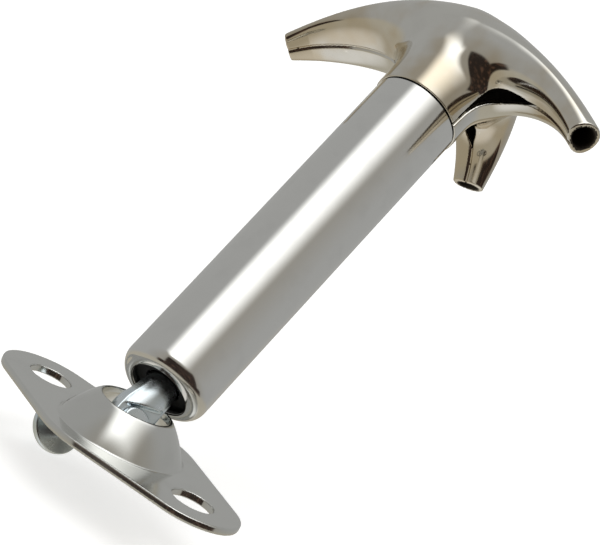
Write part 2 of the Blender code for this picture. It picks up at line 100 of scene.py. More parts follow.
CAMERA_POSITION = (0.43228, -0.49843, 0.19710)
CAMERA_BACK = (0.621, -0.751, 0.223)
CAMERA_RIGHT = (0.615, 0.644, 0.456)     # the camera is rolled, so this isn't level
CAMERA_LENS = 216.98
CAMERA_SENSOR = 36.0


def make_camera():
    camera = bpy.data.objects.new("camera", bpy.data.cameras.new("camera"))
    bpy.context.scene.collection.objects.link(camera)
    back = Vector(CAMERA_BACK).normalized()
    right = Vector(CAMERA_RIGHT)
    right = (right - right.dot(back) * back).normalized()
    up = back.cross(right)
    turn = Matrix((right, up, back)).transposed().to_4x4()
    camera.matrix_world = Matrix.Translation(CAMERA_POSITION) @ turn
    camera.data.lens = CAMERA_LENS
    camera.data.sensor_width = CAMERA_SENSOR
    camera.data.clip_start = 0.05
    camera.data.clip_end = 50.0
    bpy.context.scene.camera = camera


# ---------------------------------------------------------------- node trees

class Nodes:
    """Short calls for building a node tree."""

    def __init__(self, tree):
        self.tree = tree

    def add(self, kind, inputs=None, **settings):
        node = self.tree.nodes.new(kind)
        for name, value in settings.items():
            setattr(node, name, value)
        for name, value in (inputs or {}).items():
            socket = node.inputs[name]
            if isinstance(value, bpy.types.NodeSocket):
                self.tree.links.new(value, socket)
            else:
                socket.default_value = value
        return node

    def math(self, operation, *values):
        return self.add("ShaderNodeMath", dict(enumerate(values)), operation=operation).outputs[0]

    def dot(self, vector, direction):
        node = self.add("ShaderNodeVectorMath", {0: vector, 1: direction}, operation="DOT_PRODUCT")
        return node.outputs["Value"]

    def step(self, value, low, high):
        """Rises smoothly from 0 at low to 1 at high; low may be the larger."""
        node = self.add("ShaderNodeMapRange", {"Value": value, "From Min": low, "From Max": high},
                        interpolation_type="SMOOTHSTEP")
        return node.outputs["Result"]

    def noise(self, vector, scale, detail):
        node = self.add("ShaderNodeTexNoise", {"Vector": vector, "Scale": scale, "Detail": detail})
        return node.outputs["Fac"]

    def bump(self, height, strength, distance, **inputs):
        inputs = {"Height": height, "Strength": strength, "Distance": distance, **inputs}
        return self.add("ShaderNodeBump", inputs).outputs[0]

    def link(self, output, socket):
        self.tree.links.new(output, socket)

    def mix(self, share, first, second):
        """Mixes two colours, each three values or a socket."""
        node = self.add("ShaderNodeMix", data_type="RGBA")
        for name, value in ((0, share), (6, first), (7, second)):
            if isinstance(value, bpy.types.NodeSocket):
                self.tree.links.new(value, node.inputs[name])
            else:
                node.inputs[name].default_value = (*value, 1) if isinstance(value, tuple) else value
        return node.outputs[2]


# ---------------------------------------------------------------- light

FRONT_AZIMUTH = math.radians(-38)        # middle of the unlit side of the room
SOFT_BOX_AZIMUTH = (0.829, 0.561)        # the direction across the soft box
GLOOM = ((0.028, 0.021, 0.018), (0.10, 0.062, 0.045))
SIDE_WALL = (0.40, 0.40, 0.39)
FRONT_WALL = (0.34, 0.32, 0.28)
LOW_WALL = (0.45, 0.42, 0.35)
TABLE = (0.76, 0.74, 0.70)
SOFT_BOX = (1.75, 1.75, 1.72)
STAGE_SIZE = 8.0
BACKDROP_RADIUS = 7.0
FLOOR_GLOW = 0.62
BACKDROP_GLOW = 1.02


def make_world():
    """A plain room as a function of direction. Heights are sines of the angle above level."""
    world = bpy.data.worlds.new("studio")
    bpy.context.scene.world = world
    world.use_nodes = True
    tree = world.node_tree
    tree.nodes.clear()
    n = Nodes(tree)
    direction = n.add("ShaderNodeTexCoord").outputs["Generated"]
    height = n.dot(direction, (0, 0, 1))
    flat = n.add("ShaderNodeVectorMath", {0: direction, 1: (1, 1, 0)}, operation="MULTIPLY").outputs[0]
    flat = n.add("ShaderNodeVectorMath", {0: flat}, operation="NORMALIZE").outputs[0]

    # the open, unlit side of the room, wider below, with dim brown shapes in it
    front = n.dot(flat, (math.cos(FRONT_AZIMUTH), math.sin(FRONT_AZIMUTH), 0))
    upper = n.math("MULTIPLY", n.step(front, 0.66, 0.72), n.step(height, 0.64, 0.58))
    lower = n.math("MULTIPLY", n.step(front, 0.44, 0.52), n.step(height, -0.04, -0.12))
    dark = n.math("MULTIPLY", n.math("MAXIMUM", upper, lower), n.step(height, -0.44, -0.36))
    gloom = n.mix(n.step(n.noise(direction, 7.0, 2.0), 0.5, 0.7), *GLOOM)

    # the big soft box overhead, seen on a level ceiling
    rise = n.math("MAXIMUM", height, 0.02)
    east, north = SOFT_BOX_AZIMUTH
    across = n.math("DIVIDE", n.dot(direction, (east, north, 0)), rise)
    along = n.math("DIVIDE", n.dot(direction, (-north, east, 0)), rise)
    box = n.math("MULTIPLY", n.step(across, -0.60, -0.20), n.step(across, 0.85, -0.15))
    length = n.math("MULTIPLY", n.step(along, -0.85, -0.60), n.step(along, 0.58, 0.38))
    box = n.math("MULTIPLY", box, length)

    wall = n.mix(n.step(front, -0.2, 0.9), SIDE_WALL, FRONT_WALL)
    wall = n.mix(n.step(height, -0.2, -0.45), wall, LOW_WALL)
    wall = n.mix(n.step(height, -0.72, -0.96), wall, TABLE)
    wall = n.mix(dark, wall, gloom)
    light = n.mix(box, wall, SOFT_BOX)
    background = n.add("ShaderNodeBackground", {"Color": light, "Strength": 1.0})
    output = n.add("ShaderNodeOutputWorld")
    n.link(background.outputs[0], output.inputs["Surface"])


def make_stage():
    lowest = cad_box[0][2] - 0.4 * MM
    shape = bmesh.new()
    bmesh.ops.create_grid(shape, x_segments=1, y_segments=1, size=STAGE_SIZE)
    material, _, shader = principled("floor")
    shader.inputs["Base Color"].default_value = (0.8, 0.8, 0.8, 1)
    shader.inputs["Roughness"].default_value = 0.9
    shader.inputs["Specular IOR Level"].default_value = 0.0
    shader.inputs["Emission Color"].default_value = (1, 1, 1, 1)
    shader.inputs["Emission Strength"].default_value = FLOOR_GLOW
    floor = add_mesh("floor", shape, Matrix.Translation((0, 0, lowest)), material)
    floor.visible_glossy = False
    floor.visible_diffuse = False

    shape = bmesh.new()
    bmesh.ops.create_uvsphere(shape, u_segments=48, v_segments=24, radius=BACKDROP_RADIUS)
    glow = bpy.data.materials.new("backdrop")
    glow.use_nodes = True
    glow.node_tree.nodes.clear()
    n = Nodes(glow.node_tree)
    emission = n.add("ShaderNodeEmission", {"Color": (1, 1, 1, 1), "Strength": BACKDROP_GLOW})
    output = n.add("ShaderNodeOutputMaterial")
    n.link(emission.outputs[0], output.inputs["Surface"])
    backdrop = add_mesh("backdrop", shape, Matrix.Identity(4), glow)
    for ray in ("visible_diffuse", "visible_glossy", "visible_transmission", "visible_shadow"):
        setattr(backdrop, ray, False)
    bpy.context.scene.view_settings.view_transform = "Standard"


# ---------------------------------------------------------------- materials

PLATE_CHROME = (0.71, 0.715, 0.695)
BARREL_CHROME = (0.79, 0.79, 0.775)
HEAD_CHROME = (0.755, 0.745, 0.705)
# brown of the painted reflection mixed into the head's chrome colour
PAINTED_BROWN_REFLECTION = (0.62, 0.54, 0.41)
ZINC = ((0.73, 0.81, 0.86), (0.82, 0.88, 0.915))
SPRING_STEEL = ((0.36, 0.36, 0.37), (0.55, 0.545, 0.53))
NYLON = ((0.80, 0.80, 0.76), (0.88, 0.88, 0.85))
# unplated steel, made very dark as painted shade inside the tube and the head
HOLLOW_STEEL_PAINTED_SHADE = (0.10, 0.085, 0.07)
BLACK_STEEL = (0.03, 0.03, 0.032)


def principled(name):
    material = bpy.data.materials.new(name)
    material.use_nodes = True
    return material, Nodes(material.node_tree), material.node_tree.nodes["Principled BSDF"]


def local_point(n, place):
    """The shaded point in the axes of a place, so that scratches can follow the piece."""
    back = place.inverted()
    point = n.add("ShaderNodeTexCoord").outputs["Object"]
    return n.add("ShaderNodeMapping", {"Vector": point, "Location": back.translation,
                                       "Rotation": back.to_euler()}).outputs[0]


def make_chrome(name, frame_place, colour, roughness, waviness, wave_size, painted_reflection_share=0.0, along=(1, 1, 1)):
    """Bright chrome plate: slow waves left by pressing, fine scratches, a thin haze, and, where asked, warm
    brown patches in the colour that are painted reflection of brown surroundings.
    """
    material, n, shader = principled(name)
    place = local_point(n, frame_place)
    waves = n.noise(place, 1 / wave_size, 1.0)
    stretched = n.add("ShaderNodeMapping", {"Vector": place, "Scale": along}).outputs[0]
    hair = n.step(n.noise(stretched, 2600.0, 3.0), 0.60, 0.78)
    haze = n.step(n.noise(place, 180.0, 4.0), 0.45, 0.75)
    dulled = tuple(0.92 * value for value in colour)
    shade = n.mix(n.math("MULTIPLY", haze, 0.5), colour, dulled)
    # painted reflection: brown patches mixed into the colour stand in for brown surroundings seen in the
    # chrome
    if painted_reflection_share:
        brown_reflection_patches = n.step(n.noise(place, 70.0, 3.0), 0.40, 0.65)
        shade = n.mix(n.math("MULTIPLY", brown_reflection_patches, painted_reflection_share), shade, PAINTED_BROWN_REFLECTION)
    n.link(shade, shader.inputs["Base Color"])
    shader.inputs["Metallic"].default_value = 1.0
    rough = n.math("ADD", n.math("MULTIPLY", haze, 0.06), n.math("MULTIPLY_ADD", hair, 0.03, roughness))
    n.link(rough, shader.inputs["Roughness"])
    soft = n.bump(waves, 1.0, waviness)
    n.link(n.bump(hair, 0.25, 2 * MICRON, Normal=soft), shader.inputs["Normal"])
    return material


def make_zinc():
    """Clear bluish zinc plate over drawn steel: satin, faintly mottled and streaked."""
    material, n, shader = principled("zinc")
    place = local_point(n, EYE_PLACE)
    mottle = n.noise(place, 350.0, 4.0)
    stretched = n.add("ShaderNodeMapping", {"Vector": place, "Scale": (1, 1, 0.1)}).outputs[0]
    streak = n.noise(stretched, 2200.0, 3.0)
    n.link(n.mix(n.step(mottle, 0.35, 0.7), *ZINC), shader.inputs["Base Color"])
    shader.inputs["Metallic"].default_value = 1.0
    n.link(n.math("MULTIPLY_ADD", mottle, 0.12, 0.2), shader.inputs["Roughness"])
    n.link(n.bump(streak, 0.3, 3 * MICRON), shader.inputs["Normal"])
    return material


def make_spring_steel():
    material, n, shader = principled("spring_steel_wire")
    mottle = n.noise(n.add("ShaderNodeTexCoord").outputs["Object"], 900.0, 3.0)
    n.link(n.mix(mottle, *SPRING_STEEL), shader.inputs["Base Color"])
    shader.inputs["Metallic"].default_value = 1.0
    n.link(n.math("MULTIPLY_ADD", mottle, 0.2, 0.22), shader.inputs["Roughness"])
    return material


def make_nylon():
    material, n, shader = principled("nylon_ring")
    grain = n.noise(n.add("ShaderNodeTexCoord").outputs["Object"], 1500.0, 2.0)
    n.link(n.mix(grain, *NYLON), shader.inputs["Base Color"])
    shader.inputs["Roughness"].default_value = 0.45
    n.link(n.bump(grain, 0.3, 10 * MICRON), shader.inputs["Normal"])
    return material


def make_bare_steel(name, colour, roughness):
    """Dark mottled steel inside the tube: the unplated steel of the hollows, whose very dark colour is
    painted shade, and the black washer.
    """
    material, n, shader = principled(name)
    mottle = n.noise(n.add("ShaderNodeTexCoord").outputs["Object"], 420.0, 4.0)
    darker = tuple(0.45 * value for value in colour)
    n.link(n.mix(mottle, darker, colour), shader.inputs["Base Color"])
    shader.inputs["Metallic"].default_value = 0.6
    n.link(n.math("MULTIPLY_ADD", mottle, 0.25, roughness), shader.inputs["Roughness"])
    n.link(n.bump(mottle, 0.4, 20 * MICRON), shader.inputs["Normal"])
    return material


# ---------------------------------------------------------------- mesh tools

SHARP_ANGLE = math.radians(35.0)
PRESSED_CELL = 0.33 * MM                 # mesh size on the plate and the head
SMALL_CELL = 0.3 * MM                    # and on the rod and the nut


def add_mesh(name, shape, place, material):
    """Links a bmesh as an object, with its place carried by the mesh."""
    shape.transform(place)
    mesh = bpy.data.meshes.new(name)
    shape.to_mesh(mesh)
    shape.free()
    mesh.materials.append(material)
    mesh.shade_smooth()
    mesh.set_sharp_from_angle(angle=SHARP_ANGLE)
    item = bpy.data.objects.new(name, mesh)
    bpy.context.scene.collection.objects.link(item)
    return item


def lathe(profile, segments, ring=False):
    """Turns a profile of (radius, height) round Z; a ring's profile is closed."""
    shape = bmesh.new()
    points = [shape.verts.new((radius, 0.0, height)) for radius, height in profile]
    pairs = list(zip(points, points[1:]))
    if ring:
        pairs.append((points[-1], points[0]))
    edges = [shape.edges.new(pair) for pair in pairs]
    bmesh.ops.spin(shape, geom=points + edges, cent=(0, 0, 0), axis=(0, 0, 1),
                   angle=2 * math.pi, steps=segments, use_merge=True)
    bmesh.ops.remove_doubles(shape, verts=shape.verts, dist=1e-6)
    bmesh.ops.recalc_face_normals(shape, faces=shape.faces)
    return shape


def loft(rings):
    """Joins rings of points into a closed tube with flat ends."""
    shape = bmesh.new()
    loops = [[shape.verts.new(point) for point in ring] for ring in rings]
    for lower, upper in zip(loops, loops[1:]):
        for i in range(len(lower)):
            j = (i + 1) % len(lower)
            shape.faces.new((lower[i], lower[j], upper[j], upper[i]))
    shape.faces.new(loops[0])
    shape.faces.new(loops[-1])
    bmesh.ops.recalc_face_normals(shape, faces=shape.faces)
    return shape


def arc(centre, radius, start, end, count):
    """Points on an arc between two angles in degrees."""
    points = []
    for i in range(count + 1):
        angle = math.radians(start + (end - start) * i / count)
        points.append((centre[0] + radius * math.cos(angle), centre[1] + radius * math.sin(angle)))
    return points


def smooth(t):
    t = np.clip(t, 0, 1)
    return t * t * (3 - 2 * t)


def soft_min(a, b, softness):
    """The smaller value, with the change-over rounded so that its curvature is even too."""
    width = 1.5 * softness
    share = np.maximum(width - np.abs(a - b), 0.0) / width
    return np.minimum(a, b) - share ** 3 * width / 6


def soft_max(a, b, softness):
    return -soft_min(-a, -b, softness)


def slope_of(field, points):
    """The field's gradient, by central differences."""
    step = 2 * MICRON
    return np.stack([(field(points + step * axis) - field(points - step * axis)) / (2 * step)
                     for axis in np.eye(3)], axis=1)


def skin_of_field(name, field, low, high, cell, place, materials, choose=None):
    """Meshes the zero surface of a field (negative inside) with one vertex per crossed cell, draws the
    vertices on to the surface and gives them the field's own slope as their normals. The choose
    function picks each face's material from its middle."""
    low, high = np.array(low), np.array(high)
    count = np.ceil((high - low) / cell).astype(int) + 1
    axes = [low[k] + cell * np.arange(count[k]) for k in range(3)]
    value = np.empty(count)
    for i, x in enumerate(axes[0]):
        y, z = np.meshgrid(axes[1], axes[2], indexing="ij")
        flat = np.stack([np.full(y.size, x), y.ravel(), z.ravel()], axis=1)
        value[i] = field(flat).reshape(y.shape)
    inside = value < 0

    total = np.zeros(tuple(count - 1) + (3,))
    crossings = np.zeros(tuple(count - 1))
    for axis in range(3):
        others = [k for k in range(3) if k != axis]
        a = np.moveaxis(value, axis, 0)
        edge_low, edge_high = a[:-1], a[1:]
        crossed = (edge_low < 0) != (edge_high < 0)
        share = np.where(crossed, edge_low / np.where(crossed, edge_low - edge_high, 1), 0)
        for p in (0, 1):
            for q in (0, 1):
                part = crossed[:, p:p + count[others[0]] - 1, q:q + count[others[1]] - 1]
                offset = share[:, p:p + count[others[0]] - 1, q:q + count[others[1]] - 1]
                part_back = np.moveaxis(part, 0, axis)
                offset_back = np.moveaxis(offset, 0, axis)
                crossings += part_back
                total[..., axis] += np.where(part_back, offset_back, 0)
                total[..., others[0]] += np.where(part_back, p, 0)
                total[..., others[1]] += np.where(part_back, q, 0)
    used = crossings > 0
    index = np.full(used.shape, -1)
    index[used] = np.arange(used.sum())
    corner = np.argwhere(used)
    points = low + cell * (corner + total[used] / crossings[used][:, None])

    faces = []
    for axis in range(3):
        b, c = [(1, 2), (2, 0), (0, 1)][axis]
        ahead = np.take(inside, range(1, count[axis]), axis)
        here = np.take(inside, range(0, count[axis] - 1), axis)
        edges = np.argwhere(ahead != here)
        edges = edges[(edges[:, b] > 0) & (edges[:, c] > 0)]
        edges = edges[(edges[:, b] < count[b] - 1) & (edges[:, c] < count[c] - 1)]
        ring = []
        for db, dc in ((1, 1), (0, 1), (0, 0), (1, 0)):
            cells = edges.copy()
            cells[:, b] -= db
            cells[:, c] -= dc
            ring.append(index[tuple(cells.T)])
        quads = np.stack(ring, axis=1)
        outward = here[tuple(edges.T)]
        quads[~outward] = quads[~outward][:, ::-1]
        faces.append(quads)
    faces = np.concatenate(faces)

    for _ in range(4):
        slope = slope_of(field, points)
        size = np.maximum((slope ** 2).sum(axis=1), 0.05)
        move = slope * (field(points) / size)[:, None]
        length = np.linalg.norm(move, axis=1, keepdims=True)
        points -= move * np.minimum(1.0, 0.5 * cell / np.maximum(length, 1e-12))
    slope = slope_of(field, points)
    slope /= np.maximum(np.linalg.norm(slope, axis=1, keepdims=True), 1e-9)

    turn = np.array(place.to_3x3())
    placed = points @ turn.T + np.array(place.translation)
    mesh = bpy.data.meshes.new(name)
    mesh.from_pydata(placed.tolist(), [], faces.tolist())
    mesh.update()
    for material in materials:
        mesh.materials.append(material)
    mesh.shade_smooth()
    if choose:
        mesh.polygons.foreach_set("material_index", choose(points[faces].mean(axis=1)).astype(int))
    mesh.normals_split_custom_set_from_vertices((slope @ turn.T).tolist())
    item = bpy.data.objects.new(name, mesh)
    bpy.context.scene.collection.objects.link(item)
    return item


# ---------------------------------------------------------------- base plate

PLATE_THICKNESS = 1.5 * MM
PLATE_MIDDLE = 1.824 * BARREL_RADIUS
PLATE_END = 1.109 * BARREL_RADIUS
PLATE_END_AT = 2.355 * BARREL_RADIUS
HOLE_AT = 2.42 * BARREL_RADIUS
HOLE_RADIUS = 4.4 * MM
DOME_FOOT = 1.388 * BARREL_RADIUS
DOME_HEIGHT = 7.1 * MM
DOME_RIM = 7.45 * MM                     # where the flank ends
DOME_CORNER = (9.75 * MM, 5.38 * MM)     # where the flank's end tangents meet
OPENING = 7.2 * MM
HOLLOW = 12.5 * MM
HOLLOW_CORNER = (9.1 * MM, 5.2 * MM)
HOLLOW_RISE = 7.0 * MM
TEAR_HEIGHT = 0.45 * MM                  # the torn lower part of the sheared edge
TEAR_SLOPE = 0.3
FOOT_ROUNDING = 0.25 * MM
RIM_ROUNDING = 0.4 * MM
OPENING_ROUNDING = 0.25 * MM
HOLLOW_ROUNDING = 0.3 * MM
OUTLINE_ROUNDING = 0.3 * MM
UNDERSIDE_ROUNDING = 0.12 * MM
HOLE_ROUNDING = 0.18 * MM


def plate_outline_distance(x, y):
    """Distance in the plane from a round middle joined by tangents to two round ends."""
    x, y = np.abs(x), np.abs(y)
    sine = (PLATE_MIDDLE - PLATE_END) / PLATE_END_AT
    cosine = math.sqrt(1 - sine * sine)
    along = -sine * y + cosine * x
    middle = np.hypot(x, y) - PLATE_MIDDLE
    end = np.hypot(x - PLATE_END_AT, y) - PLATE_END
    side = cosine * y + sine * x - PLATE_MIDDLE
    return np.where(along < 0, middle, np.where(along > cosine * PLATE_END_AT, end, side))


def curve_height(radius, foot, corner, rim, rim_height):
    """Height at a radius on the quadratic curve that rises inwards from the foot to the rim, and the
    curve's slope at the foot. Outside the foot the curve goes on straight down."""
    a = foot - 2 * corner[0] + rim
    b = 2 * (foot - corner[0])
    share = (b - np.sqrt(np.maximum(b * b - 4 * a * (foot - radius), 0.0))) / (2 * a)
    share = np.minimum(share, 1.3)
    height = 2 * corner[1] * share * (1 - share) + rim_height * share ** 2
    slope = 2 * corner[1] / b
    return np.where(radius > foot, slope * (foot - radius), height), slope


def plate_field(points):
    """A flat plate with a pressed dome, an opening in it and two screw holes."""
    x, y, z = points.T
    radius = np.hypot(x, y)
    flank, slope = curve_height(radius, DOME_FOOT, DOME_CORNER, DOME_RIM, DOME_HEIGHT)
    dome = (z - PLATE_THICKNESS - flank) / math.hypot(1, slope)
    sheet = z - PLATE_THICKNESS
    above = soft_min(sheet, dome, FOOT_ROUNDING)
    above = soft_max(above, z - PLATE_THICKNESS - DOME_HEIGHT, RIM_ROUNDING)
    hollow, slope = curve_height(radius, HOLLOW, HOLLOW_CORNER, OPENING, HOLLOW_RISE)
    below = soft_max((hollow - z) / math.hypot(1, slope), -z, HOLLOW_ROUNDING)
    tear = TEAR_SLOPE * np.maximum(TEAR_HEIGHT - z, 0)
    body = soft_max(plate_outline_distance(x, y) + tear, above, OUTLINE_ROUNDING)
    body = soft_max(body, below, UNDERSIDE_ROUNDING)
    body = soft_max(body, OPENING - radius, OPENING_ROUNDING)
    holes = HOLE_RADIUS - np.hypot(np.abs(x) - HOLE_AT, y)
    return soft_max(body, holes, HOLE_ROUNDING)


def build_base_plate(chrome):
    low = (-33.6 * MM, -18 * MM, -0.6 * MM)
    high = (33.6 * MM, 18 * MM, 10.2 * MM)
    plate = skin_of_field("plate_skin", plate_field, low, high, PRESSED_CELL, Matrix.Identity(4), [chrome])
    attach(plate, "base")
    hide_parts("base_plate")


# ---------------------------------------------------------------- rivet, rod and what is on it

ROD_RADIUS = 3.5 * MM
EYE_RADIUS = 4.8 * MM
EYE_SMALL_RADIUS = 3.8 * MM
EYE_HALF_THICKNESS = 1.75 * MM
EYE_NARROWS = (2.0 * MM, 9.5 * MM)       # levels between which the flat narrows to the rod's width
SHOULDER = (4.45 * MM, 0.7)              # level of the flattening's edge on the axis, and its slope
ROD_ROUNDING = 0.5 * MM
ROD_END_ROUNDING = 0.4 * MM
BORE_ROUNDING = 0.2 * MM
THREAD_PITCH = 1.25 * MM
THREAD_DEPTH = 0.3 * MM
THREAD_LENGTH = 14.0 * MM
PIN_RADIUS = 2.2 * MM
PIN_TAIL_RADIUS = 3.3 * MM
PIN_TAIL_THICKNESS = 1.15 * MM
PIN_TAIL_ROUNDING = 0.5 * MM
PIN_LENGTH = 21.4 * MM
PIN_HEAD_RADIUS = 5.5 * MM
PIN_HEAD_HEIGHT = 4.3 * MM
PIN_HEAD_EDGE = 0.6 * MM
PIN_HEAD_CHAMFER = 0.2 * MM
WASHER_RADIUS = 7.2 * MM
WASHER_HOLE = ROD_RADIUS + 0.35 * MM
WASHER_THICKNESS = 1.2 * MM
SPRING_LENGTH = 46.0 * MM
SPRING_RADIUS = 6.1 * MM
WIRE_RADIUS = 0.9 * MM
SPRING_TURNS = 10
SPRING_GROUND = 0.35 * MM                # ground off each end
NUT_ACROSS_FLATS = 11.1 * MM
NUT_BODY = 5.0 * MM
NUT_CORNER_RADIUS = 1.07 * NUT_ACROSS_FLATS / 2
NUT_CHAMFER = 1.6                        # slope of the corner chamfers
NUT_ROUNDING = 0.15 * MM
NUT_COLLAR = 1.9 * MM
NUT_COLLAR_ROOT = 3.0 * MM               # level inside the nut from which the collar grows
NUT_COLLAR_RADIUS = 5.2 * MM
NUT_COLLAR_ROUNDING = 0.6 * MM
NUT_COLLAR_FILLET = 0.3 * MM
INSERT_RADIUS = 4.4 * MM
ROD_END_ABOVE_NUT = 2.0 * MM

# Levels along the rod, from the barrel's lower end
LOWER_WASHER_LEVEL = BARREL_WALL + GAP
SPRING_LEVEL = LOWER_WASHER_LEVEL + WASHER_THICKNESS + GAP
UPPER_WASHER_LEVEL = SPRING_LEVEL + SPRING_LENGTH + GAP
NUT_LEVEL = UPPER_WASHER_LEVEL + WASHER_THICKNESS + GAP
INSERT_LEVEL = NUT_LEVEL + NUT_BODY + GAP
ROD_END_LEVEL = NUT_LEVEL + NUT_BODY + NUT_COLLAR + ROD_END_ABOVE_NUT


def rod_field(points):
    """A round rod whose lower end is pressed flat into an eye that is wider on one side."""
    x, y, z = points.T
    wide = np.where(x > 0, EYE_RADIUS, EYE_SMALL_RADIUS)
    narrowing = smooth((z - EYE_NARROWS[0]) / (EYE_NARROWS[1] - EYE_NARROWS[0]))
    beside = np.abs(x) - (wide + (ROD_RADIUS - wide) * narrowing)
    round_end = (np.hypot(x / wide, z / EYE_RADIUS) - 1) * wide
    blade = soft_max(np.where(z > 0, beside, round_end), np.abs(y) - EYE_HALF_THICKNESS, ROD_ROUNDING)
    blade = np.maximum(blade, z - EYE_NARROWS[1])
    end = BARREL_RISE + ROD_END_LEVEL
    turn = z / THREAD_PITCH - np.arctan2(y, x) / (2 * math.pi)
    thread = THREAD_DEPTH * (0.5 - 0.5 * np.cos(2 * math.pi * turn)) * (z > end - THREAD_LENGTH)
    half_x = ROD_RADIUS + np.where(x > 0, wide - ROD_RADIUS, 0.0) * (1 - narrowing)
    round_part = (np.hypot(x / half_x, y / ROD_RADIUS) - 1) * ROD_RADIUS + thread
    level, slope = SHOULDER
    shaft = soft_max(round_part, (level - slope * x - z) / math.hypot(1, slope), ROD_ROUNDING)
    body = soft_min(blade, shaft, ROD_ROUNDING)
    body = soft_max(body, z - end, ROD_END_ROUNDING)
    return soft_max(body, PIN_RADIUS + GAP - np.hypot(x, z), BORE_ROUNDING)


def ring_profile(hole, radius, thickness, rounding):
    """A ring's outline with its four corners cut off."""
    return [(hole + rounding, 0.0), (radius - rounding, 0.0), (radius, rounding),
            (radius, thickness - rounding), (radius - rounding, thickness), (hole + rounding, thickness),
            (hole, thickness - rounding), (hole, rounding)]


def build_pin(zinc):
    """A round-head rivet through the rod's eye."""
    tail = -(EYE_HALF_THICKNESS + GAP + PIN_TAIL_THICKNESS)
    corner = PIN_TAIL_RADIUS - PIN_TAIL_ROUNDING
    profile = [(0, tail), (corner, tail)]
    profile += arc((corner, tail + PIN_TAIL_ROUNDING), PIN_TAIL_ROUNDING, -90, 0, 5)
    profile += [(PIN_TAIL_RADIUS, tail + PIN_TAIL_THICKNESS), (PIN_RADIUS, tail + PIN_TAIL_THICKNESS)]
    profile += [(PIN_RADIUS, PIN_LENGTH), (PIN_HEAD_RADIUS - PIN_HEAD_CHAMFER, PIN_LENGTH),
                (PIN_HEAD_RADIUS, PIN_LENGTH + PIN_HEAD_CHAMFER)]
    head = PIN_LENGTH + PIN_HEAD_EDGE
    steps = 24
    for i in range(steps):
        angle = math.pi / 2 * i / steps
        height = (PIN_HEAD_HEIGHT - PIN_HEAD_EDGE) * math.sin(angle)
        profile.append((PIN_HEAD_RADIUS * math.cos(angle), head + height))
    profile.append((0, PIN_LENGTH + PIN_HEAD_HEIGHT))
    place = EYE_PLACE @ Matrix.Rotation(math.radians(90), 4, "X")
    pin = add_mesh("pin_skin", lathe(profile, 128), place, zinc)
    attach(pin, "pin")
    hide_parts("pivot_pin")


def build_rod(zinc):
    end = BARREL_RISE + ROD_END_LEVEL
    reach = EYE_RADIUS + 0.5 * MM
    low = (-reach, -4.0 * MM, -reach)
    high = (reach, 4.0 * MM, end + 0.5 * MM)
    rod = skin_of_field("rod_skin", rod_field, low, high, SMALL_CELL, EYE_PLACE, [zinc])
    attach(rod, "rod")
    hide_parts("pivot_rod")


def build_ring(name, node, body, profile, level, place, material):
    ring = add_mesh(name, lathe(profile, 96, ring=True), place @ Matrix.Translation((0, 0, level)), material)
    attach(ring, body)
    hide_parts(node)


def build_spring(steel):
    """Round wire whose end turns lie closed and are ground flat."""
    turn_points, wire_points = 48, 14
    closed = 2 * WIRE_RADIUS + GAP
    open_pitch = (SPRING_LENGTH - 2 * WIRE_RADIUS - 2 * closed) / (SPRING_TURNS - 2)
    rings = []
    for i in range(SPRING_TURNS * turn_points + 1):
        turn = i / turn_points
        height = closed * (min(turn, 1) + max(turn - SPRING_TURNS + 1, 0))
        height += open_pitch * min(max(turn - 1, 0), SPRING_TURNS - 2) + WIRE_RADIUS
        outward = Vector((math.cos(2 * math.pi * turn), math.sin(2 * math.pi * turn), 0))
        ring = []
        for k in range(wire_points):
            angle = 2 * math.pi * k / wire_points
            point = outward * (SPRING_RADIUS + WIRE_RADIUS * math.cos(angle))
            point.z = height + WIRE_RADIUS * math.sin(angle)
            ring.append(point)
        rings.append(ring)
    shape = loft(rings)
    for vertex in shape.verts:
        vertex.co.z = min(max(vertex.co.z, SPRING_GROUND), SPRING_LENGTH - SPRING_GROUND)
        vertex.co.z = (vertex.co.z - SPRING_GROUND) * SPRING_LENGTH / (SPRING_LENGTH - 2 * SPRING_GROUND)
    spring = add_mesh("spring_skin", shape, ROD_PLACE @ Matrix.Translation((0, 0, SPRING_LEVEL)), steel)
    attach(spring, "rod")
    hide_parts("barrel_spring")
    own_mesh(spring)


def nut_field(points):
    """A hexagon nut with chamfered corners below and a round collar above."""
    x, y, z = points.T
    flats = [math.radians(30 + 60 * k) for k in range(6)]
    hexagon = np.max([x * math.cos(angle) + y * math.sin(angle) for angle in flats], axis=0)
    radius = np.hypot(x, y)
    body = soft_max(hexagon - NUT_ACROSS_FLATS / 2, np.maximum(-z, z - NUT_BODY), NUT_ROUNDING)
    for level in (z, NUT_BODY - z):
        cone = (radius - NUT_CORNER_RADIUS - NUT_CHAMFER * level) / math.hypot(1, NUT_CHAMFER)
        body = np.maximum(body, cone)
    ends = np.maximum(z - NUT_BODY - NUT_COLLAR, NUT_COLLAR_ROOT - z)
    collar = soft_max(radius - NUT_COLLAR_RADIUS, ends, NUT_COLLAR_ROUNDING)
    body = soft_min(body, collar, NUT_COLLAR_FILLET)
    bore = np.where(z < NUT_BODY, ROD_RADIUS, INSERT_RADIUS) + GAP
    return soft_max(body, bore - radius, BORE_ROUNDING)


def build_nut(zinc, nylon):
    reach = 6.8 * MM
    low = (-reach, -reach, -0.5 * MM)
    high = (reach, reach, 7.4 * MM)
    place = ROD_PLACE @ Matrix.Translation((0, 0, NUT_LEVEL))
    nut = skin_of_field("nut_skin", nut_field, low, high, SMALL_CELL, place, [zinc])
    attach(nut, "rod")
    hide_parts("stop_nut")
    insert = ring_profile(ROD_RADIUS + GAP, INSERT_RADIUS, NUT_COLLAR - 2 * GAP, 0.1 * MM)
    build_ring("insert_skin", "nut_insert", "rod", insert, INSERT_LEVEL, ROD_PLACE, nylon)


# ---------------------------------------------------------------- barrel

LIP_CORNER = 2.9 * MM
LIP_RADIUS = 0.653 * BARREL_RADIUS
SLEEVE_BELOW_SEAM = 7.0 * MM
SLEEVE_ABOVE_SEAM = 3.0 * MM


